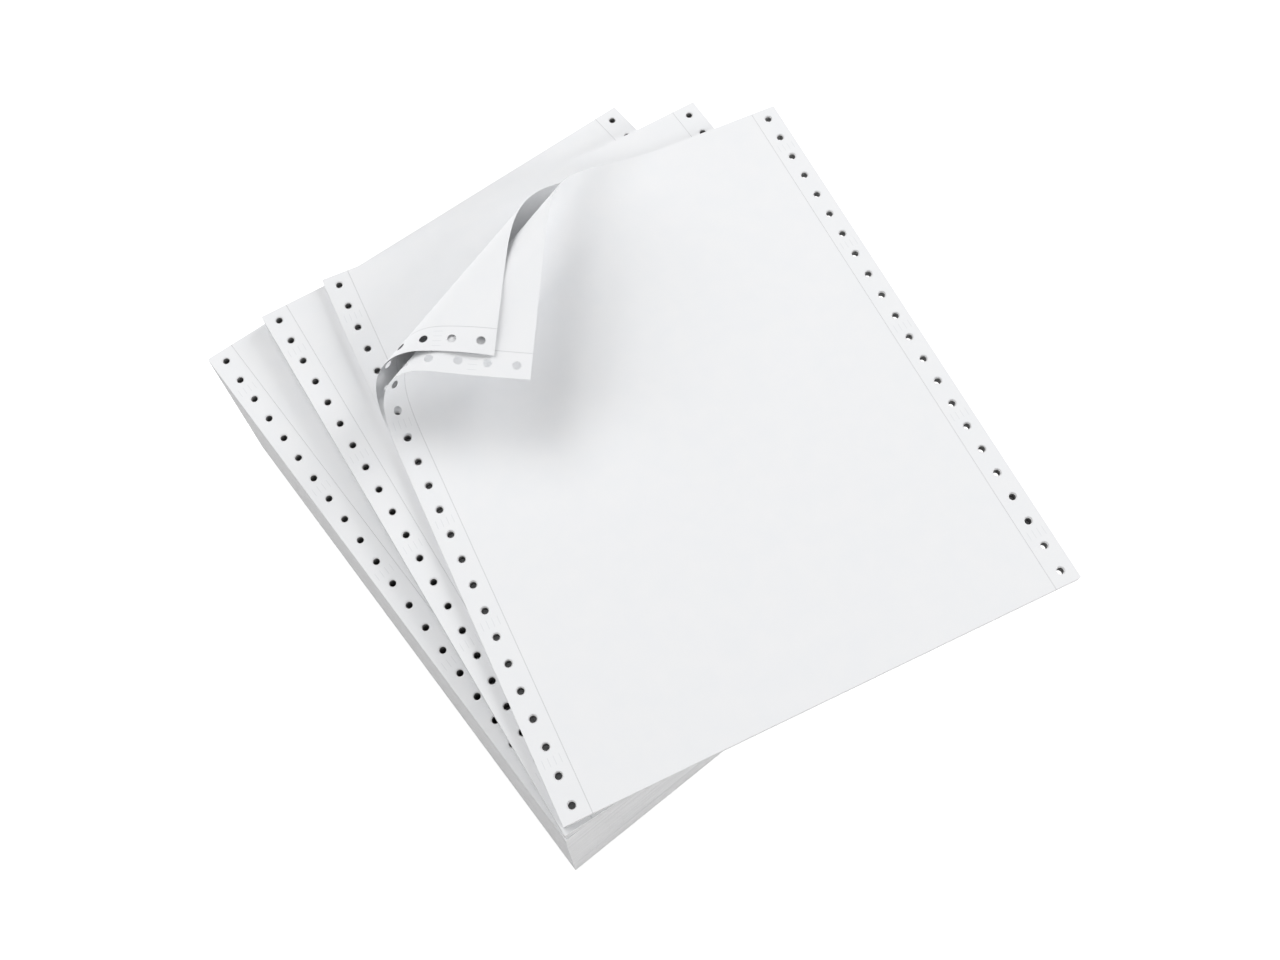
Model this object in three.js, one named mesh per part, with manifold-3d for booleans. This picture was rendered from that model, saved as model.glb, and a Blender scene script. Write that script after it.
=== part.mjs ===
// Fanfold continuous form paper, in millimetres with +Z up.
// Three packs of zigzag folded two-ply forms stand on one another. Each pack is turned a little
// further about its near left corner, so the edges and sprocket holes below show as a fan.
// On the top pack, the first form's two plies roll back from the far left corner.
// The origin is the middle of the bottom pack's underside, X runs across the forms and Y along the feed.

import * as THREE from "three";
import { mergeVertices } from "three/addons/utils/BufferGeometryUtils.js";
import Module from "manifold-3d";

// Form: 9 1/2 by 11 inches, with one line of sprocket holes in each tear-off strip
const FORM_WIDTH = 241.3;
const FORM_LENGTH = 279.4;
const HOLE_PITCH = 12.7;
const HOLE_DIAMETER = 4;
const HOLE_EDGE_DISTANCE = 6.35;
const HOLE_SIDES = 10;
const PLY_THICKNESS = 0.1;

// Packs: heights, and the turn of each one about its near left corner, clockwise from above
const BOTTOM_PACK_HEIGHT = 94.25;
const MIDDLE_PACK_HEIGHT = 7.7;
const TOP_PACK_HEIGHT = 3.9;
const MIDDLE_PACK_TURN = 6.28;
const TOP_PACK_TURN = 12.78;
const MIDDLE_PACK_CORNER = [0.5, 0.7];
const TOP_PACK_CORNER = [2, 3.2];

// Folded ends: the folds show as rounded bundles with a shallow groove between them
const FOLD_BUNDLE_HEIGHT = 3.9;
const FOLD_GROOVE_DEPTH = 0.4;
const FOLD_GROOVE_WIDTH = 1;

// Curl: the paper rolls back along one direction, counted from across the form towards its left edge
const CURL_DIRECTION = 120.5;
const CURL_FACET_ANGLE = 10;

// First ply: length of paper between the far left corner and the line where the ply lifts off,
// then the radius and angle of each bend that it takes on the way to the corner
const FIRST_PLY_LIFTED = 93.9;
const FIRST_PLY_LIFT_RADIUS = 29.3;
const FIRST_PLY_LIFT_ANGLE = 33;
const FIRST_PLY_ROLL_RADIUS = 15.1;
const FIRST_PLY_ROLL_ANGLE = 154.4;
const FIRST_PLY_TAIL_RADIUS = -348;

// Second ply: the same measures, with its roll outside the first ply's
const SECOND_PLY_LIFTED = 75.8;
const SECOND_PLY_LIFT_RADIUS = 13.7;
const SECOND_PLY_LIFT_ANGLE = 91.7;
const SECOND_PLY_ROLL_RADIUS = 19.4;
const SECOND_PLY_ROLL_ANGLE = 79.1;
const SECOND_PLY_TAIL_RADIUS = 67.7;

const PAPER_COLOUR = 0xf0f1f3;
const PAPER_ROUGHNESS = 0.85;

const HOLE_COUNT = Math.floor(FORM_LENGTH / HOLE_PITCH);
const FIRST_HOLE = (FORM_LENGTH - (HOLE_COUNT - 1) * HOLE_PITCH) / 2;
const HOLE_LINES = [HOLE_EDGE_DISTANCE, FORM_WIDTH - HOLE_EDGE_DISTANCE];

const CURL_RADIANS = THREE.MathUtils.degToRad(CURL_DIRECTION);
const CURL_AXIS = new THREE.Vector2(Math.cos(CURL_RADIANS), Math.sin(CURL_RADIANS));
const FACET_RADIANS = THREE.MathUtils.degToRad(CURL_FACET_ANGLE);
const LIFTED_CORNER = new THREE.Vector2(0, FORM_LENGTH);

const CUT_MARGIN = 1;
const MERGE_DISTANCE = 1e-5;

const wasm = await Module();
wasm.setup();

// A level in the precision that a mesh stores, so faces that touch lie in one plane
function level(height) {
  return Math.fround(height);
}

// Joins and cuts

function toSolid(geometry) {
  const bare = geometry.clone();
  bare.deleteAttribute("normal");
  bare.deleteAttribute("uv");
  const merged = mergeVertices(bare, MERGE_DISTANCE);
  const vertProperties = new Float32Array(merged.attributes.position.array);
  const triVerts = new Uint32Array(merged.index.array);
  return new wasm.Manifold(new wasm.Mesh({ numProp: 3, vertProperties, triVerts }));
}

function toGeometry(solid) {
  const mesh = solid.getMesh();
  const geometry = new THREE.BufferGeometry();
  geometry.setAttribute("position", new THREE.BufferAttribute(mesh.vertProperties, 3));
  geometry.setIndex(new THREE.BufferAttribute(mesh.triVerts, 1));
  geometry.computeVertexNormals();
  return geometry;
}

// Sprocket holes

function holeCentres() {
  const centres = [];
  for (const x of HOLE_LINES) {
    for (let i = 0; i < HOLE_COUNT; i += 1) {
      centres.push(new THREE.Vector2(x, FIRST_HOLE + i * HOLE_PITCH));
    }
  }
  return centres;
}

function holeOutline(centre) {
  const points = [];
  for (let i = 0; i < HOLE_SIDES; i += 1) {
    const angle = ((i + 0.5) / HOLE_SIDES) * 2 * Math.PI;
    const x = centre.x + (HOLE_DIAMETER / 2) * Math.cos(angle);
    const y = centre.y + (HOLE_DIAMETER / 2) * Math.sin(angle);
    points.push(new THREE.Vector2(x, y));
  }
  return points;
}

function holePunches(height) {
  const shapes = holeCentres().map((centre) => new THREE.Shape(holeOutline(centre)));
  const punches = new THREE.ExtrudeGeometry(shapes, {
    depth: height + 2 * CUT_MARGIN,
    bevelEnabled: false,
  });
  return punches.translate(0, 0, -CUT_MARGIN);
}

// Packs

// Side view of a pack: a groove between each two bundles of folds, at both folded ends
function packProfile(height) {
  const bundles = Math.max(1, Math.round(height / FOLD_BUNDLE_HEIGHT));
  const bundleHeight = height / bundles;
  const halfGroove = Math.min(FOLD_GROOVE_WIDTH, bundleHeight / 2) / 2;
  const nearEnd = [];
  for (let i = 1; i < bundles; i += 1) {
    const z = i * bundleHeight;
    nearEnd.push(new THREE.Vector2(0, z - halfGroove));
    nearEnd.push(new THREE.Vector2(FOLD_GROOVE_DEPTH, z));
    nearEnd.push(new THREE.Vector2(0, z + halfGroove));
  }
  const farEnd = nearEnd.map((point) => new THREE.Vector2(FORM_LENGTH - point.x, point.y));
  return new THREE.Shape([
    new THREE.Vector2(0, 0),
    new THREE.Vector2(FORM_LENGTH, 0),
    ...farEnd,
    new THREE.Vector2(FORM_LENGTH, height),
    new THREE.Vector2(0, height),
    ...nearEnd.reverse(),
  ]);
}

function packSolid(height) {
  const block = new THREE.ExtrudeGeometry(packProfile(height), {
    depth: FORM_WIDTH,
    bevelEnabled: false,
  });
  const acrossForm = new THREE.Matrix4().makeBasis(
    new THREE.Vector3(0, 1, 0),
    new THREE.Vector3(0, 0, 1),
    new THREE.Vector3(1, 0, 0),
  );
  block.applyMatrix4(acrossForm);
  return toSolid(block).subtract(toSolid(holePunches(height)));
}

// Curled plies

// Stations along the curl: distance from the lift line, forward travel, rise and slope of the paper
function curlStations(lifted, bends) {
  const stations = [{ distance: 0, travel: 0, rise: 0, slope: 0 }];
  for (const { radius, angle } of bends) {
    const start = stations[stations.length - 1];
    const turn = angle === null ? (lifted - start.distance) / radius : angle;
    const facets = Math.max(1, Math.ceil(Math.abs(turn) / FACET_RADIANS));
    for (let i = 1; i <= facets; i += 1) {
      const slope = start.slope + (turn * i) / facets;
      stations.push({
        distance: start.distance + (radius * turn * i) / facets,
        travel: start.travel + radius * (Math.sin(slope) - Math.sin(start.slope)),
        rise: start.rise + radius * (Math.cos(start.slope) - Math.cos(slope)),
        slope,
      });
    }
  }
  return stations;
}

// How far a face of the ply has travelled and risen at a station, the offset away from its underside
function faceAt(station, offset) {
  return {
    travel: station.travel - offset * Math.sin(station.slope),
    rise: station.rise + offset * Math.cos(station.slope),
  };
}

// The same between two stations, at a distance from the lift line
function faceBetween(stations, offset, distance) {
  const found = stations.findIndex((station) => station.distance >= distance);
  const end = found < 0 ? stations.length - 1 : Math.max(1, found);
  const [before, after] = [stations[end - 1], stations[end]];
  const share = (distance - before.distance) / (after.distance - before.distance);
  const [a, b] = [faceAt(before, offset), faceAt(after, offset)];
  return {
    travel: THREE.MathUtils.lerp(a.travel, b.travel, share),
    rise: THREE.MathUtils.lerp(a.rise, b.rise, share),
  };
}

// Cuts a polygon in two along the line at a given distance; both halves share the same cut points
function splitPolygon(polygon, distanceOf, cut) {
  const below = [];
  const above = [];
  polygon.forEach((point, i) => {
    const next = polygon[(i + 1) % polygon.length];
    const a = distanceOf(point);
    const b = distanceOf(next);
    if (a <= cut) {
      below.push(point);
    }
    if (a >= cut) {
      above.push(point);
    }
    if ((a - cut) * (b - cut) < 0) {
      const [low, high] = a < b ? [point, next] : [next, point];
      const share = (cut - Math.min(a, b)) / Math.abs(b - a);
      const crossing = low.clone().lerp(high, share);
      below.push(crossing);
      above.push(crossing);
    }
  });
  return [below, above].filter((part) => part.length > 2);
}

function panel(left, right, near, far) {
  return [
    new THREE.Vector2(left, near),
    new THREE.Vector2(right, near),
    new THREE.Vector2(right, far),
    new THREE.Vector2(left, far),
  ];
}

// One flat sheet as polygons: a panel round each sprocket hole, and plain paper between each two of them
function sheetPolygons() {
  const stripWidth = 2 * HOLE_EDGE_DISTANCE;
  const rightStrip = FORM_WIDTH - stripWidth;
  const polygons = [];
  for (let row = 0; row < HOLE_COUNT; row += 1) {
    const near = row === 0 ? 0 : FIRST_HOLE + (row - 0.5) * HOLE_PITCH;
    const far = row === HOLE_COUNT - 1 ? FORM_LENGTH : FIRST_HOLE + (row + 0.5) * HOLE_PITCH;
    const [left, right] = HOLE_LINES.map((x) => new THREE.Vector2(x, FIRST_HOLE + row * HOLE_PITCH));
    polygons.push(panel(stripWidth, rightStrip, near, far));
    polygons.push(...drilledPanel(panel(0, stripWidth, near, far), left));
    polygons.push(...drilledPanel(panel(rightStrip, FORM_WIDTH, near, far), right));
  }
  return polygons;
}

function drilledPanel(outline, centre) {
  const hole = holeOutline(centre).reverse();
  const points = [...outline, ...hole];
  const faces = THREE.ShapeUtils.triangulateShape(outline, [hole]);
  return faces.map((face) => face.map((index) => points[index]));
}

// A ply from its underside's level up, flat as far as the lift line and rolled back beyond it
function plySolid(bottom, top, lifted, bends) {
  const stations = curlStations(lifted, bends);
  const liftLine = CURL_AXIS.dot(LIFTED_CORNER) - lifted;
  const distanceOf = (point) => CURL_AXIS.dot(point) - liftLine;

  const curled = (point, face) => {
    const distance = distanceOf(point);
    if (distance <= 0) {
      return [point.x, point.y, face];
    }
    const { travel, rise } = faceBetween(stations, face - bottom, distance);
    const shift = travel - distance;
    return [point.x + shift * CURL_AXIS.x, point.y + shift * CURL_AXIS.y, bottom + rise];
  };

  const keys = new Map();
  const corners = [];
  const cornerOf = (point) => {
    const key = `${point.x} ${point.y}`;
    if (!keys.has(key)) {
      keys.set(key, corners.length);
      corners.push(point);
    }
    return keys.get(key);
  };

  const faces = [];
  let polygons = sheetPolygons();
  for (const station of stations.slice(0, -1)) {
    polygons = polygons.flatMap((polygon) => splitPolygon(polygon, distanceOf, station.distance));
  }
  for (const polygon of polygons) {
    const indices = polygon.map(cornerOf);
    for (let i = 2; i < indices.length; i += 1) {
      faces.push([indices[0], indices[i - 1], indices[i]]);
    }
  }

  const edges = new Set(faces.flatMap(([a, b, c]) => [`${a} ${b}`, `${b} ${c}`, `${c} ${a}`]));
  const count = corners.length;
  const triangles = [];
  for (const face of faces) {
    const [a, b, c] = face;
    triangles.push(a + count, b + count, c + count, a, c, b);
    for (const [from, to] of [[a, b], [b, c], [c, a]]) {
      if (!edges.has(`${to} ${from}`)) {
        triangles.push(from, to, to + count, from, to + count, from + count);
      }
    }
  }

  const positions = [bottom, top].flatMap((face) => corners.flatMap((point) => curled(point, face)));
  const geometry = new THREE.BufferGeometry();
  geometry.setAttribute("position", new THREE.Float32BufferAttribute(positions, 3));
  geometry.setIndex(triangles);
  return toSolid(geometry);
}

function bend(radius, degrees) {
  return { radius, angle: THREE.MathUtils.degToRad(degrees) };
}

// The last bend runs on to the corner, however much paper is left
function tail(radius) {
  return { radius, angle: null };
}

// Sub-parts

function paper(name, geometry) {
  const material = new THREE.MeshStandardMaterial({
    color: PAPER_COLOUR,
    roughness: PAPER_ROUGHNESS,
    metalness: 0,
  });
  const mesh = new THREE.Mesh(geometry, material);
  mesh.name = name;
  return mesh;
}

function plainPack(name, height) {
  return paper(name, toGeometry(packSolid(level(height))));
}

function curledPack(name, height) {
  const bodyTop = level(height - 2 * PLY_THICKNESS);
  const pliesMeet = level(height - PLY_THICKNESS);
  const top = level(height);
  const secondPly = plySolid(bodyTop, pliesMeet, SECOND_PLY_LIFTED, [
    bend(SECOND_PLY_LIFT_RADIUS, SECOND_PLY_LIFT_ANGLE),
    bend(SECOND_PLY_ROLL_RADIUS, SECOND_PLY_ROLL_ANGLE),
    tail(SECOND_PLY_TAIL_RADIUS),
  ]);
  const firstPly = plySolid(pliesMeet, top, FIRST_PLY_LIFTED, [
    bend(FIRST_PLY_LIFT_RADIUS, FIRST_PLY_LIFT_ANGLE),
    bend(FIRST_PLY_ROLL_RADIUS, FIRST_PLY_ROLL_ANGLE),
    tail(FIRST_PLY_TAIL_RADIUS),
  ]);
  return paper(name, toGeometry(packSolid(bodyTop).add(secondPly).add(firstPly)));
}

function place(mesh, corner, height, turn) {
  mesh.position.set(corner[0] - FORM_WIDTH / 2, corner[1] - FORM_LENGTH / 2, height);
  mesh.rotation.z = -THREE.MathUtils.degToRad(turn);
  return mesh;
}

function fanfoldPaper() {
  const middleLevel = level(BOTTOM_PACK_HEIGHT);
  const topLevel = middleLevel + level(MIDDLE_PACK_HEIGHT);
  const bottomPack = plainPack("bottom_pack", BOTTOM_PACK_HEIGHT);
  const middlePack = plainPack("middle_pack", MIDDLE_PACK_HEIGHT);
  const topPack = curledPack("top_pack", TOP_PACK_HEIGHT);
  const group = new THREE.Group();
  group.add(place(bottomPack, [0, 0], 0, 0));
  group.add(place(middlePack, MIDDLE_PACK_CORNER, middleLevel, MIDDLE_PACK_TURN));
  group.add(place(topPack, TOP_PACK_CORNER, topLevel, TOP_PACK_TURN));
  return group;
}

export default fanfoldPaper();
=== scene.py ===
# Fanfold continuous form paper: fine meshes, paper finish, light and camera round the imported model.
# Lengths are in millimetres until a mesh is made, and row() turns them into metres in the row frame.

import math

import bpy
import numpy as np
from mathutils import Euler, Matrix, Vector
from mathutils.geometry import tessellate_polygon


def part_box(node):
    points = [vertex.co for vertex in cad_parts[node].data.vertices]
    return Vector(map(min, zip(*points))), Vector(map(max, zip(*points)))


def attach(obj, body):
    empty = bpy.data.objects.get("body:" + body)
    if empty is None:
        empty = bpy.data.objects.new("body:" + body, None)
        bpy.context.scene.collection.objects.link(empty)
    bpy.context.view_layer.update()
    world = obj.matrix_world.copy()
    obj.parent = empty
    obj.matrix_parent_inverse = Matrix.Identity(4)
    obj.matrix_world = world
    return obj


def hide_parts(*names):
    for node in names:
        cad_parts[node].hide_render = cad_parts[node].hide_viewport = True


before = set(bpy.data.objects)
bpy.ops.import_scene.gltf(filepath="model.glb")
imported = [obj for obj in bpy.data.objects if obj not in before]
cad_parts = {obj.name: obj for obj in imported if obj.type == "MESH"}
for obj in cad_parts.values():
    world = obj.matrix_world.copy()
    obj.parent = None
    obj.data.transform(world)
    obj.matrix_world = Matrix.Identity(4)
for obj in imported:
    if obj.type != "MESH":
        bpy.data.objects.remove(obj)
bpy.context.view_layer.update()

MM = 0.001

# Form
FORM_WIDTH = 241.3
FORM_LENGTH = 279.4
HOLE_PITCH = 12.7
HOLE_RADIUS = 2.0
HOLE_EDGE = 6.35
HOLE_SIDES = 24
HOLE_COUNT = 22
STRIP_WIDTH = 2 * HOLE_EDGE
PLY_THICKNESS = 0.1

# Packs: near left corner from the middle of the bottom pack, and the clockwise turn in degrees
BOTTOM_CORNER = (-FORM_WIDTH / 2, -FORM_LENGTH / 2)
MIDDLE_CORNER = (BOTTOM_CORNER[0] + 0.5, BOTTOM_CORNER[1] + 0.7)
TOP_CORNER = (BOTTOM_CORNER[0] + 2.0, BOTTOM_CORNER[1] + 3.2)
MIDDLE_TURN = 6.28
TOP_TURN = 12.78
TOP_PACK_HEIGHT = 3.9

# Folded ends and cut sides of a pack: how far single layers stand in at random, and the wavelengths in
# height of the smooth waves that move groups of layers in and up. The waves fade out towards the top and
# the underside, drift along each edge, and the rise swings to and fro round the pack.
LAYER_HEIGHT = 0.8
LAYER_PROFILE = (0.06, 0.3, 0.7, 0.94)
FOLD_ROUNDING = 0.22
FOLD_JITTER = 0.1
CUT_JITTER = 0.12
FOLD_WANDER = 0.3
NEAR_WAVELENGTHS = (9.0, 5.2, 3.1, 2.2)
FAR_WAVELENGTHS = (10.0, 6.1, 3.4, 2.0)
LAYER_WAVE = 0.25
RISE_WAVELENGTHS = (14.0, 8.0, 5.0)
RISE_SWING = 3
WAVE_DRIFT = 0.35
END_FADE = LAYER_HEIGHT / 4
RISE_FADE = 3 * LAYER_HEIGHT
END_COLUMNS = 24
SIDE_COLUMNS = 20
HOLE_WANDER = 0.08
BOTTOM_SEED, MIDDLE_SEED, TOP_SEED = 11, 23, 37

# Sheets in a pack are a little out of line: below the top sheet a hole narrows to what stays clear.
# Each row gives the depth from the top of the pack, the radius there, and whether the wall above is painted
# dark, as painted shade of the deep hole.
LEDGE_RADIUS = 1.55
HOLE_ROWS = (
    (0.0, HOLE_RADIUS, False),
    (0.1, HOLE_RADIUS, False),
    (0.22, LEDGE_RADIUS, False),
    # From this depth down the walls are painted dark, as painted shade of the deep hole
    (1.6, LEDGE_RADIUS, True),
)
DEEP_HOLE_ROWS = 4

# Curl of the two loose plies: paper lifted, then radius and angle of each bend, the last one open
CURL_DIRECTION = math.radians(120.5)
CURL_FACET = math.radians(2)
FIRST_PLY_LIFTED = 93.9
FIRST_PLY_BENDS = ((29.3, 33.0), (15.1, 154.4), (-348.0, None))
SECOND_PLY_LIFTED = 75.8
SECOND_PLY_BENDS = ((13.7, 91.7), (19.4, 79.1), (67.7, None))
PLY_CLEARANCE = 0.01

# Smallest distance that counts on a flat form, digits that tell its points apart, and the angle between
# faces up to which they are shaded as one surface
SAME_PLACE = 1e-6
PLACE_DIGITS = 5
SMOOTH_ANGLE = math.radians(35)

# Camera and light
CAMERA_PLACE = (-144.4, -214.2, 614.4)
CAMERA_ANGLES = (23.936, -0.231, -38.276)
CAMERA_LENS = 35.63
SENSOR_WIDTH = 36.0
LAMP_DISTANCE = 3.0
LAMP_TARGET = (0.0, 0.0, 0.1)
FLOOR_SIZE = 4000.0

# Soft lamps: azimuth from +X and elevation in degrees, side in metres, and the share of the light
# that each one gives on a level sheet; the dome gives the rest
LAMPS = {
    "lamp_behind": (90, 44, 1.6, 0.3),
    "lamp_left": (135, 30, 1.6, 0.17),
    "lamp_right": (0, 30, 1.6, 0.22),
    "lamp_near": (285, 26, 1.6, 0.2),
}
DOME_STRENGTH = 0.2

# Floor: its own colour, its glow to the camera near the paper and further off, and the distances from the
# middle of the paper, in metres, between which the glow changes
FLOOR_WHITE = (0.82, 0.82, 0.82, 1.0)
FLOOR_GLOW = (0.55, 1.0)
FLOOR_GLOW_REACH = (0.45, 1.1)

# Marks of a form: the tear-off perforation, whose grey is painted shade of its slits, and small groups of
# ticks in the strips
PERF_WIDTH = 0.36
PERF_PITCH = 0.8
PERF_CUT = 0.7
TICK_ROWS = (25.4, 88.9, 139.7, 190.5, 254.0)
TICK_LENGTH = 4.0
TICK_SPACING = 2.5
TICK_COUNT = 4
TICK_WIDTH = 0.22

# Sheets: noise scales in waves for each millimetre, share of each mark, and relief in millimetres
PAPER_WHITE = (0.86, 0.865, 0.875, 1.0)
PAPER_CLOUD = (0.845, 0.855, 0.87, 1.0)
# Grey of the perforation: painted shade of its slits
PERF_SLIT_SHADE = (0.33, 0.33, 0.34, 1.0)
TICK_GREY = (0.45, 0.47, 0.5, 1.0)
CLOUD_SCALE = 0.09
FIBRE_SCALE = 2.5
TICK_SHARE = 0.28
PERF_SLIT_SHADE_SHARE = 0.5
PERF_DEPTH = 1.5
SHEET_ROUGHNESS = (0.72, 0.86)
SHEET_SPECULAR = 0.25
SHEET_RELIEF = 0.02
SHEET_BUMP = 0.5

# Edges of the layers: noise that is drawn out along them
EDGE_WHITE = (0.9, 0.9, 0.905, 1.0)
EDGE_GREY = (0.66, 0.66, 0.665, 1.0)
EDGE_STRETCH = (0.012, 0.012, 1.0)
LINE_SCALE = 4.0
BAND_SCALE = 0.35
LINE_TONES = (0.4, 1.0)
BAND_TONES = (0.3, 1.0)
EDGE_ROUGHNESS = 0.9
EDGE_SPECULAR = 0.15

# Walls of the holes below their top: dark greys that are painted shade of the deep holes
HOLE_PAINTED_SHADE = (0.34, 0.34, 0.34, 1.0)
HOLE_PAINTED_DEEP_SHADE = (0.2, 0.2, 0.2, 1.0)
HOLE_STRETCH = (0.3, 0.3, 1.0)
HOLE_LINE_SCALE = 3.0
HOLE_ROUGHNESS = 0.95
HOLE_SPECULAR = 0.05

# Relief of edges and hole walls, in millimetres
LAYER_RELIEF = 0.08
LAYER_BUMP = 0.6

# Where the values of a noise mostly lie
NOISE_RANGE = (0.3, 0.7)

# Material slots of every piece; the third holds the painted shade of the deep hole walls
SHEET, EDGES, PAINTED_SHADE_WALLS = 0, 1, 2


# Meshes


def row(points, corner, base, turn):
    """Points of a pack, from its near left corner, as metres in the row frame."""
    angle = math.radians(turn)
    points = np.asarray(points, dtype=float)
    x = corner[0] + points[:, 0] * math.cos(angle) + points[:, 1] * math.sin(angle)
    y = corner[1] - points[:, 0] * math.sin(angle) + points[:, 1] * math.cos(angle)
    return np.column_stack([x, y, base + points[:, 2]]) * MM


def paper_object(name, points, sheet_points, faces, face_slots, materials):
    """A piece of paper; each vertex keeps its place on the flat form in the attribute named sheet."""
    mesh = bpy.data.meshes.new(name)
    mesh.from_pydata([tuple(p) for p in points], [], faces)
    mesh.validate()
    mesh.attributes.new("sheet", "FLOAT_VECTOR", "POINT")
    flat = np.asarray(sheet_points, dtype=np.float32) * MM
    mesh.attributes["sheet"].data.foreach_set("vector", flat.ravel())
    for material in materials:
        mesh.materials.append(material)
    mesh.polygons.foreach_set("material_index", face_slots)
    mesh.polygons.foreach_set("use_smooth", [True] * len(faces))
    mesh.set_sharp_from_angle(angle=SMOOTH_ANGLE)
    mesh.update()
    piece = bpy.data.objects.new(name, mesh)
    bpy.context.scene.collection.objects.link(piece)
    return piece


def hole_centres():
    """Middles of the sprocket holes on the flat form."""
    centres = []
    for x in (HOLE_EDGE, FORM_WIDTH - HOLE_EDGE):
        centres += [(x, HOLE_EDGE + i * HOLE_PITCH) for i in range(HOLE_COUNT)]
    return centres


def hole_ring(x, y, radius=HOLE_RADIUS):
    """The outline of one hole, counterclockwise."""
    angles = [2 * math.pi * i / HOLE_SIDES for i in range(HOLE_SIDES)]
    return [(x + radius * math.cos(a), y + radius * math.sin(a)) for a in angles]


def hole_rows(height):
    """Height, radius and whether the wall above it is painted dark as shade, from the top of a pack down.
    """
    rows = [(height - depth, radius, painted_dark) for depth, radius, painted_dark in HOLE_ROWS]
    lowest = rows[-1][0]
    # Rows further down are all painted dark, as shade of the deep hole
    for i in range(1, DEEP_HOLE_ROWS + 1):
        rows.append((lowest * (1 - i / DEEP_HOLE_ROWS), LEDGE_RADIUS, True))
    return rows


# Packs


class Wander:
    """A smooth random wave over height and place along an edge, from 0 to 1."""

    def __init__(self, seed, wavelengths):
        rng = np.random.default_rng(seed)
        self.waves = []
        for length in wavelengths:
            phase = rng.uniform(0, 1)
            drift = rng.uniform(-WAVE_DRIFT, WAVE_DRIFT)
            self.waves.append((1 / length, phase, drift))

    def at(self, z, along):
        turns = [z * rate + phase + drift * along for rate, phase, drift in self.waves]
        return 0.5 + 0.5 * sum(math.sin(2 * math.pi * turn) for turn in turns) / len(turns)


def pack_rows(height, seed):
    """Rows round a pack from the bottom up: the height, and how far each of the four sides stands in."""
    rng = np.random.default_rng(seed)
    layers = max(2, round(height / LAYER_HEIGHT))
    layer = height / layers
    rows = []
    for i in range(layers):
        near, far = rng.uniform(0, FOLD_JITTER, 2)
        left, right = rng.uniform(0, CUT_JITTER, 2)
        for share in LAYER_PROFILE:
            z = (i + share) * layer
            fold = FOLD_ROUNDING * (2 * share - 1) ** 2
            rows.append((z, near + fold, right, far + fold, left))
    first, last = rows[0], rows[-1]
    return [(0.0, *first[1:]), *rows, (height, *last[1:])]


def pack_outline(z, height, near, right, far, left, wanders):
    """One closed row of points round the pack, counterclockwise from the near left corner."""
    ends = np.linspace(0, 1, END_COLUMNS, endpoint=False)
    sides = np.linspace(0, 1, SIDE_COLUMNS, endpoint=False)
    fade = min(1.0, min(z, height - z) / END_FADE)

    def near_y(share):
        return near + FOLD_WANDER * wanders[0].at(z, share) * fade

    def far_y(share):
        return FORM_LENGTH - far - FOLD_WANDER * wanders[1].at(z, share) * fade

    x0, x1 = left, FORM_WIDTH - right
    points = [(x0 + (x1 - x0) * s, near_y(s)) for s in ends]
    points += [(x1, near_y(1.0) + (far_y(1.0) - near_y(1.0)) * s) for s in sides]
    points += [(x1 - (x1 - x0) * s, far_y(1 - s)) for s in ends]
    points += [(x0, far_y(0.0) - (far_y(0.0) - near_y(0.0)) * s) for s in sides]
    return points


def pack_sides(height, seed):
    """The four sides of a pack: points, faces, and how many points one row round it has."""
    wanders = [Wander(seed + 2, NEAR_WAVELENGTHS), Wander(seed + 3, FAR_WAVELENGTHS)]
    rise = Wander(seed + 4, RISE_WAVELENGTHS)
    count = 2 * (END_COLUMNS + SIDE_COLUMNS)
    points, faces = [], []
    for z, *insets in pack_rows(height, seed):
        fade = min(1.0, min(z, height - z) / RISE_FADE)
        for i, (x, y) in enumerate(pack_outline(z, height, *insets, wanders)):
            swing = RISE_SWING * math.sin(2 * math.pi * i / count)
            points.append((x, y, z + LAYER_WAVE * fade * (rise.at(z, swing) - 0.5)))
    for low in range(0, len(points) - count, count):
        high = low + count
        for i in range(count):
            k = (i + 1) % count
            faces.append((low + i, low + k, high + k, high + i))
    return points, faces, count


def drill_hole(points, faces, slots, x, y, height, rng):
    """Adds the wall of one hole, and gives its rings at the underside and at the top."""
    levels = []
    for z, radius, painted_dark in hole_rows(height):
        dx, dy = rng.uniform(-HOLE_WANDER, HOLE_WANDER, 2) * (radius < HOLE_RADIUS)
        ring = range(len(points), len(points) + HOLE_SIDES)
        # Walls below the ledge take the slot of painted shade
        levels.append((ring, PAINTED_SHADE_WALLS if painted_dark else EDGES))
        points += [(px, py, z) for px, py in hole_ring(x + dx, y + dy, radius)]
    for (high, _), (low, slot) in zip(levels, levels[1:]):
        for i in range(HOLE_SIDES):
            k = (i + 1) % HOLE_SIDES
            faces.append((low[k], low[i], high[i], high[k]))
            slots.append(slot)
    return levels[-1][0], levels[0][0]


def flat_face(points, outer, holes, upward):
    """Triangles between the outer row of a pack and its holes, all facing up or all down."""
    loops = [list(outer)] + [list(reversed(ring)) for ring in holes]
    indices = [index for loop in loops for index in loop]
    flat = [[Vector((points[index][0], points[index][1], 0)) for index in loop] for loop in loops]
    triangles = []
    for a, b, c in tessellate_polygon(flat):
        face = [indices[a], indices[b], indices[c]]
        p, q, r = (points[index] for index in face)
        area = (q[0] - p[0]) * (r[1] - p[1]) - (q[1] - p[1]) * (r[0] - p[0])
        if (area > 0) != upward:
            face.reverse()
        triangles.append(tuple(face))
    return triangles


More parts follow.
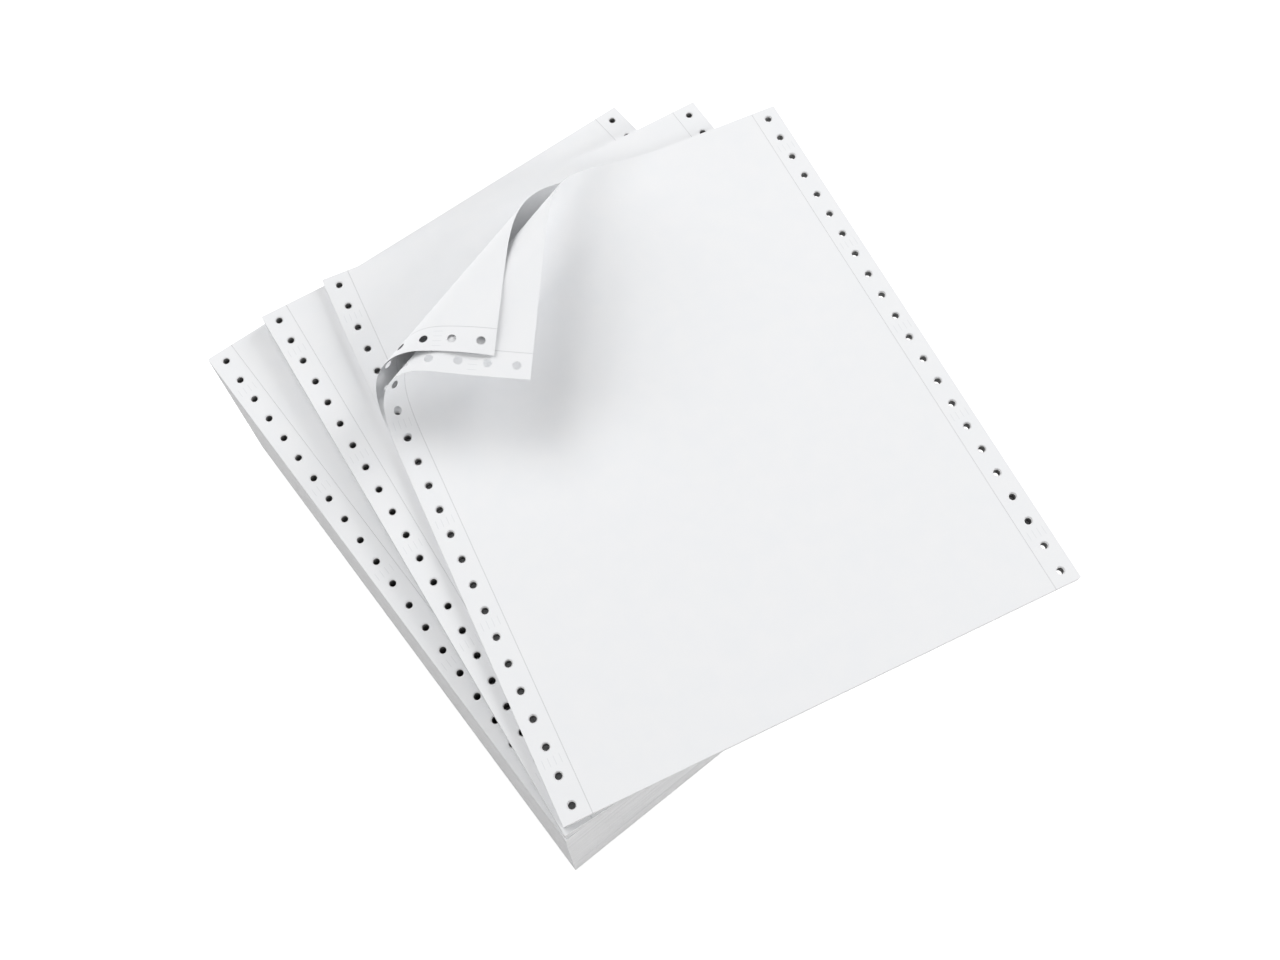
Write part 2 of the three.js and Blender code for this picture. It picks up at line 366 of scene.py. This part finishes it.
def pack_mesh(height, seed):
    """A drilled pack of paper: points on the flat form, faces and their material slots."""
    rng = np.random.default_rng(seed + 1)
    points, faces, count = pack_sides(height, seed)
    slots = [EDGES] * len(faces)
    underside, top = range(count), range(len(points) - count, len(points))
    rings = [drill_hole(points, faces, slots, x, y, height, rng) for x, y in hole_centres()]
    faces += flat_face(points, underside, [low for low, _ in rings], False)
    faces += flat_face(points, top, [high for _, high in rings], True)
    slots += [SHEET] * (len(faces) - len(slots))
    return points, faces, slots


def make_pack(name, corner, base, turn, height, seed, materials):
    points, faces, slots = pack_mesh(height, seed)
    return paper_object(name, row(points, corner, base, turn), points, faces, slots, materials)


# Curled plies


def curl_stations(lifted, bends):
    """Distance from the lift line, forward travel, rise and slope at each line between two facets."""
    stations = [(0.0, 0.0, 0.0, 0.0)]
    for radius, degrees in bends:
        distance, travel, rise, slope = stations[-1]
        turn = (lifted - distance) / radius if degrees is None else math.radians(degrees)
        facets = max(1, math.ceil(abs(turn) / CURL_FACET))
        for i in range(1, facets + 1):
            angle = slope + turn * i / facets
            stations.append((
                distance + radius * turn * i / facets,
                travel + radius * (math.sin(angle) - math.sin(slope)),
                rise + radius * (math.cos(slope) - math.cos(angle)),
                angle,
            ))
    return np.array(stations)


def panel_ring(left, right, near, far, x, y):
    """Quads between a hole and the panel round it."""
    hole = hole_ring(x, y)
    border = []
    for i in range(HOLE_SIDES):
        angle = 2 * math.pi * i / HOLE_SIDES
        dx, dy = math.cos(angle), math.sin(angle)
        reach_x = ((right - x) if dx > 0 else (x - left)) / max(abs(dx), SAME_PLACE)
        reach_y = ((far - y) if dy > 0 else (y - near)) / max(abs(dy), SAME_PLACE)
        reach = min(reach_x, reach_y)
        border.append((x + dx * reach, y + dy * reach))
    quads = []
    for i in range(HOLE_SIDES):
        k = (i + 1) % HOLE_SIDES
        quads.append([hole[i], border[i], border[k], hole[k]])
    return quads


def sheet_polygons():
    """The flat form as convex polygons: quads round each hole, and a wide panel between each two holes."""
    polygons = []
    inner_left, inner_right = STRIP_WIDTH, FORM_WIDTH - STRIP_WIDTH
    for i in range(HOLE_COUNT):
        near, far = i * HOLE_PITCH, (i + 1) * HOLE_PITCH
        y = near + HOLE_PITCH / 2
        left_quads = panel_ring(0, inner_left, near, far, HOLE_EDGE, y)
        right_quads = panel_ring(inner_right, FORM_WIDTH, near, far, FORM_WIDTH - HOLE_EDGE, y)
        polygons += left_quads + right_quads
        left_edge = {quad[1] for quad in left_quads if abs(quad[1][0] - inner_left) < SAME_PLACE}
        right_edge = {quad[1] for quad in right_quads if abs(quad[1][0] - inner_right) < SAME_PLACE}
        middle = sorted(right_edge, key=lambda p: p[1])
        middle += sorted(left_edge, key=lambda p: -p[1])
        polygons.append(middle)
    return polygons


def split_by_lines(polygon, distance_of, cuts):
    """Pieces of a convex polygon between parallel lines at the given distances."""
    pieces = []
    for cut in cuts:
        distances = [distance_of(p) for p in polygon]
        if max(distances) <= cut:
            break
        if min(distances) >= cut:
            continue
        below, above = [], []
        for i, point in enumerate(polygon):
            k = (i + 1) % len(polygon)
            a, b = distances[i], distances[k]
            if a <= cut:
                below.append(point)
            if a >= cut:
                above.append(point)
            if (a - cut) * (b - cut) < 0:
                low, high = (point, polygon[k]) if a < b else (polygon[k], point)
                share = (cut - min(a, b)) / abs(b - a)
                crossing = tuple(p + (q - p) * share for p, q in zip(low, high))
                below.append(crossing)
                above.append(crossing)
        pieces.append(below)
        polygon = above
    pieces.append(polygon)
    return [piece for piece in pieces if len(piece) > 2]


def faceted_sheet(distance_of, cuts):
    """Corners of the flat form cut along the given lines, and its polygons as lists of corner numbers."""
    corner_of, corners, polygons = {}, [], []
    for polygon in sheet_polygons():
        for piece in split_by_lines(polygon, distance_of, cuts):
            indices = []
            for point in piece:
                key = (round(point[0], PLACE_DIGITS), round(point[1], PLACE_DIGITS))
                if key not in corner_of:
                    corner_of[key] = len(corners)
                    corners.append(point)
                if corner_of[key] not in indices:
                    indices.append(corner_of[key])
            if len(indices) > 2:
                polygons.append(indices)
    return corners, polygons


def ply_mesh(bottom, thickness, lifted, bends):
    """A sheet with its holes, flat as far as its lift line and rolled back beyond it."""
    stations = curl_stations(lifted, bends)
    axis = (math.cos(CURL_DIRECTION), math.sin(CURL_DIRECTION))
    lift_line = axis[1] * FORM_LENGTH - lifted

    def distance_of(point):
        return axis[0] * point[0] + axis[1] * point[1] - lift_line

    corners, polygons = faceted_sheet(distance_of, stations[:-1, 0])
    flat = np.array(corners)
    distance = flat @ np.array(axis) - lift_line
    lifted_part = distance > 0
    surfaces = []
    for offset in (0.0, thickness):
        travel = stations[:, 1] - offset * np.sin(stations[:, 3])
        rise = stations[:, 2] + offset * np.cos(stations[:, 3])
        shift = np.interp(distance, stations[:, 0], travel) - distance
        shift = np.where(lifted_part, shift, 0.0)
        z = np.where(lifted_part, np.interp(distance, stations[:, 0], rise), offset)
        surfaces.append(np.column_stack([flat + shift[:, None] * np.array(axis), bottom + z]))

    count = len(corners)
    edges = {(p[i], p[(i + 1) % len(p)]) for p in polygons for i in range(len(p))}
    faces = [tuple(i + count for i in p) for p in polygons] + [tuple(reversed(p)) for p in polygons]
    slots = [SHEET] * len(faces)
    for a, b in sorted(edges):
        if (b, a) not in edges:
            faces.append((a, b, b + count, a + count))
            slots.append(EDGES)
    sheet_points = [(p[0], p[1], z) for z in (0.0, thickness) for p in corners]
    return np.vstack(surfaces), sheet_points, faces, slots


def make_ply(name, corner, base, turn, bottom, lifted, bends, materials):
    points, sheet_points, faces, slots = ply_mesh(bottom, PLY_THICKNESS - PLY_CLEARANCE, lifted, bends)
    return paper_object(name, row(points, corner, base, turn), sheet_points, faces, slots, materials)


# Materials


class Graph:
    """Short calls for the nodes of one material."""

    def __init__(self, material):
        material.use_nodes = True
        self.tree = material.node_tree
        self.shader = next(n for n in self.tree.nodes if n.type == "BSDF_PRINCIPLED")

    def node(self, kind, **settings):
        node = self.tree.nodes.new(kind)
        for name, value in settings.items():
            setattr(node, name, value)
        return node

    def link(self, source, target):
        if isinstance(source, (int, float, tuple)):
            target.default_value = source
        else:
            self.tree.links.new(source, target)

    def math(self, operation, *inputs):
        node = self.node("ShaderNodeMath", operation=operation)
        for source, socket in zip(inputs, node.inputs):
            self.link(source, socket)
        return node.outputs[0]

    def sheet_axes(self):
        """Millimetres across, along and up the pack, as on the flat form."""
        place = self.node("ShaderNodeAttribute", attribute_name="sheet")
        scaled = self.node("ShaderNodeVectorMath", operation="SCALE")
        self.link(place.outputs["Vector"], scaled.inputs[0])
        scaled.inputs["Scale"].default_value = 1 / MM
        split = self.node("ShaderNodeSeparateXYZ")
        self.link(scaled.outputs[0], split.inputs[0])
        return scaled.outputs[0], split.outputs[0], split.outputs[1], split.outputs[2]

    def stretched(self, vector, factors):
        """A place with each of its three numbers multiplied by a factor of its own."""
        node = self.node("ShaderNodeVectorMath", operation="MULTIPLY")
        self.link(vector, node.inputs[0])
        node.inputs[1].default_value = factors
        return node.outputs[0]

    def noise(self, vector, scale, detail=2.0):
        node = self.node("ShaderNodeTexNoise", noise_dimensions="3D")
        self.link(vector, node.inputs["Vector"])
        node.inputs["Scale"].default_value = scale
        node.inputs["Detail"].default_value = detail
        return node.outputs["Fac"]

    def mix(self, factor, a, b):
        """Colour a where the factor is 0 and b where it is 1; sockets 6, 7 and 2 are the node's colours."""
        node = self.node("ShaderNodeMix", data_type="RGBA")
        self.link(factor, node.inputs[0])
        self.link(a, node.inputs[6])
        self.link(b, node.inputs[7])
        return node.outputs[2]

    def spread(self, value, low, high):
        """The usual range of a noise, drawn out to lie between low and high."""
        node = self.node("ShaderNodeMapRange")
        self.link(value, node.inputs["Value"])
        node.inputs["From Min"].default_value, node.inputs["From Max"].default_value = NOISE_RANGE
        node.inputs["To Min"].default_value = low
        node.inputs["To Max"].default_value = high
        return node.outputs[0]

    def bump(self, height, distance, strength):
        node = self.node("ShaderNodeBump")
        node.inputs["Distance"].default_value = distance * MM
        node.inputs["Strength"].default_value = strength
        self.link(height, node.inputs["Height"])
        self.link(node.outputs[0], self.shader.inputs["Normal"])


def form_marks(graph, across, along):
    """Masks of the tear-off perforation and of the faint tick marks in the strips."""
    from_right = graph.math("SUBTRACT", FORM_WIDTH, across)
    from_edge = graph.math("MINIMUM", across, from_right)
    on_line = graph.math("COMPARE", from_edge, STRIP_WIDTH, PERF_WIDTH / 2)
    dash = graph.math("LESS_THAN", graph.math("FRACT", graph.math("DIVIDE", along, PERF_PITCH)), PERF_CUT)
    perforation = graph.math("MULTIPLY", on_line, dash)

    first_tick = HOLE_EDGE - TICK_COUNT / 2 * TICK_SPACING
    order = graph.math("DIVIDE", graph.math("SUBTRACT", from_edge, first_tick), TICK_SPACING)
    thin = graph.math("COMPARE", graph.math("FRACT", order), 0.5, TICK_WIDTH / 2 / TICK_SPACING)
    inside = graph.math("COMPARE", order, TICK_COUNT / 2, TICK_COUNT / 2)
    ticks = graph.math("MULTIPLY", thin, inside)
    rows = 0.0
    for place in TICK_ROWS:
        here = graph.math("COMPARE", along, place, TICK_LENGTH / 2)
        rows = graph.math("ADD", rows, here)
    return perforation, graph.math("MULTIPLY", ticks, rows)


def sheet_material():
    """White uncoated bond: soft clouding, fine fibre relief, tear-off perforation with painted shade in its
    slits, and faint ticks.
    """
    material = bpy.data.materials.new("paper_sheet")
    graph = Graph(material)
    place, across, along, _ = graph.sheet_axes()
    clouds = graph.spread(graph.noise(place, CLOUD_SCALE, detail=3.0), 0.0, 1.0)
    colour = graph.mix(clouds, PAPER_WHITE, PAPER_CLOUD)
    perforation, ticks = form_marks(graph, across, along)
    colour = graph.mix(graph.math("MULTIPLY", ticks, TICK_SHARE), colour, TICK_GREY)
    # Painted shade of the perforation slits over the paper colour
    colour = graph.mix(graph.math("MULTIPLY", perforation, PERF_SLIT_SHADE_SHARE), colour, PERF_SLIT_SHADE)
    graph.link(colour, graph.shader.inputs["Base Color"])
    fibres = graph.noise(place, FIBRE_SCALE, detail=4.0)
    graph.link(graph.spread(fibres, *SHEET_ROUGHNESS), graph.shader.inputs["Roughness"])
    relief = graph.math("SUBTRACT", fibres, graph.math("MULTIPLY", perforation, PERF_DEPTH))
    graph.bump(relief, SHEET_RELIEF, SHEET_BUMP)
    graph.shader.inputs["Specular IOR Level"].default_value = SHEET_SPECULAR
    return material


def edge_material():
    """Cut and folded edges of many sheets: fine lines along the layers, a little uneven in tone."""
    material = bpy.data.materials.new("paper_edges")
    graph = Graph(material)
    place, _, _, _ = graph.sheet_axes()
    along_layers = graph.stretched(place, EDGE_STRETCH)
    lines = graph.noise(along_layers, LINE_SCALE, detail=3.0)
    bands = graph.noise(along_layers, BAND_SCALE)
    tone = graph.math("MULTIPLY", graph.spread(lines, *LINE_TONES), graph.spread(bands, *BAND_TONES))
    colour = graph.mix(tone, EDGE_GREY, EDGE_WHITE)
    graph.link(colour, graph.shader.inputs["Base Color"])
    graph.shader.inputs["Roughness"].default_value = EDGE_ROUGHNESS
    graph.shader.inputs["Specular IOR Level"].default_value = EDGE_SPECULAR
    graph.bump(lines, LAYER_RELIEF, LAYER_BUMP)
    return material


def painted_hole_shade_material():
    """Deeper walls of the sprocket holes: dark greys that are painted shade of the deep holes, with lines
    along the many punched sheet edges.
    """
    material = bpy.data.materials.new("paper_hole_walls_painted_shade")
    graph = Graph(material)
    place, _, _, _ = graph.sheet_axes()
    lines = graph.noise(graph.stretched(place, HOLE_STRETCH), HOLE_LINE_SCALE)
    # Two dark greys of painted shade, mixed by the lines
    colour = graph.mix(graph.spread(lines, 0.0, 1.0), HOLE_PAINTED_DEEP_SHADE, HOLE_PAINTED_SHADE)
    graph.link(colour, graph.shader.inputs["Base Color"])
    graph.shader.inputs["Roughness"].default_value = HOLE_ROUGHNESS
    graph.shader.inputs["Specular IOR Level"].default_value = HOLE_SPECULAR
    graph.bump(lines, LAYER_RELIEF, LAYER_BUMP)
    return material


# Stage


def make_camera():
    data = bpy.data.cameras.new("camera")
    data.lens = CAMERA_LENS
    data.sensor_width = SENSOR_WIDTH
    camera = bpy.data.objects.new("camera", data)
    camera.location = Vector(CAMERA_PLACE) * MM
    camera.rotation_euler = Euler([math.radians(angle) for angle in CAMERA_ANGLES])
    bpy.context.scene.collection.objects.link(camera)
    bpy.context.scene.camera = camera


def make_lamp(name, azimuth, elevation, side, share):
    """A square lamp that gives the stated share of a plain light level on a level sheet."""
    around, up = math.radians(azimuth), math.radians(elevation)
    towards = Vector((math.cos(around) * math.cos(up), math.sin(around) * math.cos(up), math.sin(up)))
    data = bpy.data.lights.new(name, "AREA")
    data.size = side
    data.energy = share * math.pi ** 2 * LAMP_DISTANCE ** 2 / math.sin(up)
    lamp = bpy.data.objects.new(name, data)
    lamp.location = Vector(LAMP_TARGET) + towards * LAMP_DISTANCE
    lamp.rotation_euler = (-towards).to_track_quat("-Z", "Y").to_euler()
    bpy.context.scene.collection.objects.link(lamp)


def seen_directly(tree):
    """1 where the camera sees the surface itself or in a mirror or through glass."""
    path = tree.nodes.new("ShaderNodeLightPath")
    total = path.outputs["Is Camera Ray"]
    for name in ("Is Glossy Ray", "Is Transmission Ray"):
        node = tree.nodes.new("ShaderNodeMath")
        node.operation = "MAXIMUM"
        tree.links.new(total, node.inputs[0])
        tree.links.new(path.outputs[name], node.inputs[1])
        total = node.outputs[0]
    return total


def make_world():
    world = bpy.data.worlds.new("dome")
    bpy.context.scene.world = world
    world.use_nodes = True
    tree = world.node_tree
    background = next(n for n in tree.nodes if n.type == "BACKGROUND")
    background.inputs["Color"].default_value = (1, 1, 1, 1)
    strength = tree.nodes.new("ShaderNodeMix")
    strength.inputs[2].default_value = DOME_STRENGTH
    strength.inputs[3].default_value = 1.0
    tree.links.new(seen_directly(tree), strength.inputs[0])
    tree.links.new(strength.outputs[0], background.inputs["Strength"])


def make_floor():
    """A pale floor that reads as white and keeps a faint shadow."""
    half = FLOOR_SIZE / 2 * MM
    mesh = bpy.data.meshes.new("floor")
    corners = [(-half, -half, 0), (half, -half, 0), (half, half, 0), (-half, half, 0)]
    mesh.from_pydata(corners, [], [(0, 1, 2, 3)])
    floor = bpy.data.objects.new("floor", mesh)
    bpy.context.scene.collection.objects.link(floor)
    material = bpy.data.materials.new("floor")
    graph = Graph(material)
    graph.shader.inputs["Base Color"].default_value = FLOOR_WHITE
    graph.shader.inputs["Roughness"].default_value = 1.0
    graph.shader.inputs["Specular IOR Level"].default_value = 0.0
    graph.shader.inputs["Emission Color"].default_value = (1, 1, 1, 1)
    place = graph.node("ShaderNodeTexCoord").outputs["Object"]
    reach = graph.node("ShaderNodeVectorMath", operation="LENGTH")
    graph.link(place, reach.inputs[0])
    glow = graph.node("ShaderNodeMapRange", interpolation_type="SMOOTHSTEP")
    graph.link(reach.outputs["Value"], glow.inputs["Value"])
    glow.inputs["From Min"].default_value, glow.inputs["From Max"].default_value = FLOOR_GLOW_REACH
    glow.inputs["To Min"].default_value, glow.inputs["To Max"].default_value = FLOOR_GLOW
    lifted = graph.math("MULTIPLY", seen_directly(graph.tree), glow.outputs[0])
    graph.link(lifted, graph.shader.inputs["Emission Strength"])
    mesh.materials.append(material)


# The part

finish = [sheet_material(), edge_material(), painted_hole_shade_material()]

bottom_low, bottom_high = (corner.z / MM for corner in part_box("bottom_pack"))
middle_low, middle_high = (corner.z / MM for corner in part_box("middle_pack"))
top_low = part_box("top_pack")[0].z / MM
bottom_height = bottom_high - bottom_low
middle_height = middle_high - middle_low
top_height = TOP_PACK_HEIGHT - 2 * PLY_THICKNESS

# Near left corner, level of the underside and turn of each pack
bottom_place = (BOTTOM_CORNER, bottom_low, 0)
middle_place = (MIDDLE_CORNER, middle_low, MIDDLE_TURN)
top_place = (TOP_CORNER, top_low, TOP_TURN)
second_ply = (top_height, SECOND_PLY_LIFTED, SECOND_PLY_BENDS)
first_ply = (top_height + PLY_THICKNESS, FIRST_PLY_LIFTED, FIRST_PLY_BENDS)

pieces = [
    (make_pack("bottom_pack_paper", *bottom_place, bottom_height, BOTTOM_SEED, finish), "bottom_pack"),
    (make_pack("middle_pack_paper", *middle_place, middle_height, MIDDLE_SEED, finish), "middle_pack"),
    (make_pack("top_pack_paper", *top_place, top_height - PLY_CLEARANCE, TOP_SEED, finish), "top_pack"),
    (make_ply("second_ply", *top_place, *second_ply, finish), "top_pack"),
    (make_ply("first_ply", *top_place, *first_ply, finish), "top_pack"),
]
for piece, node in pieces:
    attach(piece, "root")
    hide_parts(node)

make_camera()
for lamp_name, lamp_values in LAMPS.items():
    make_lamp(lamp_name, *lamp_values)
make_world()
make_floor()
bpy.context.scene.view_settings.view_transform = "Standard"
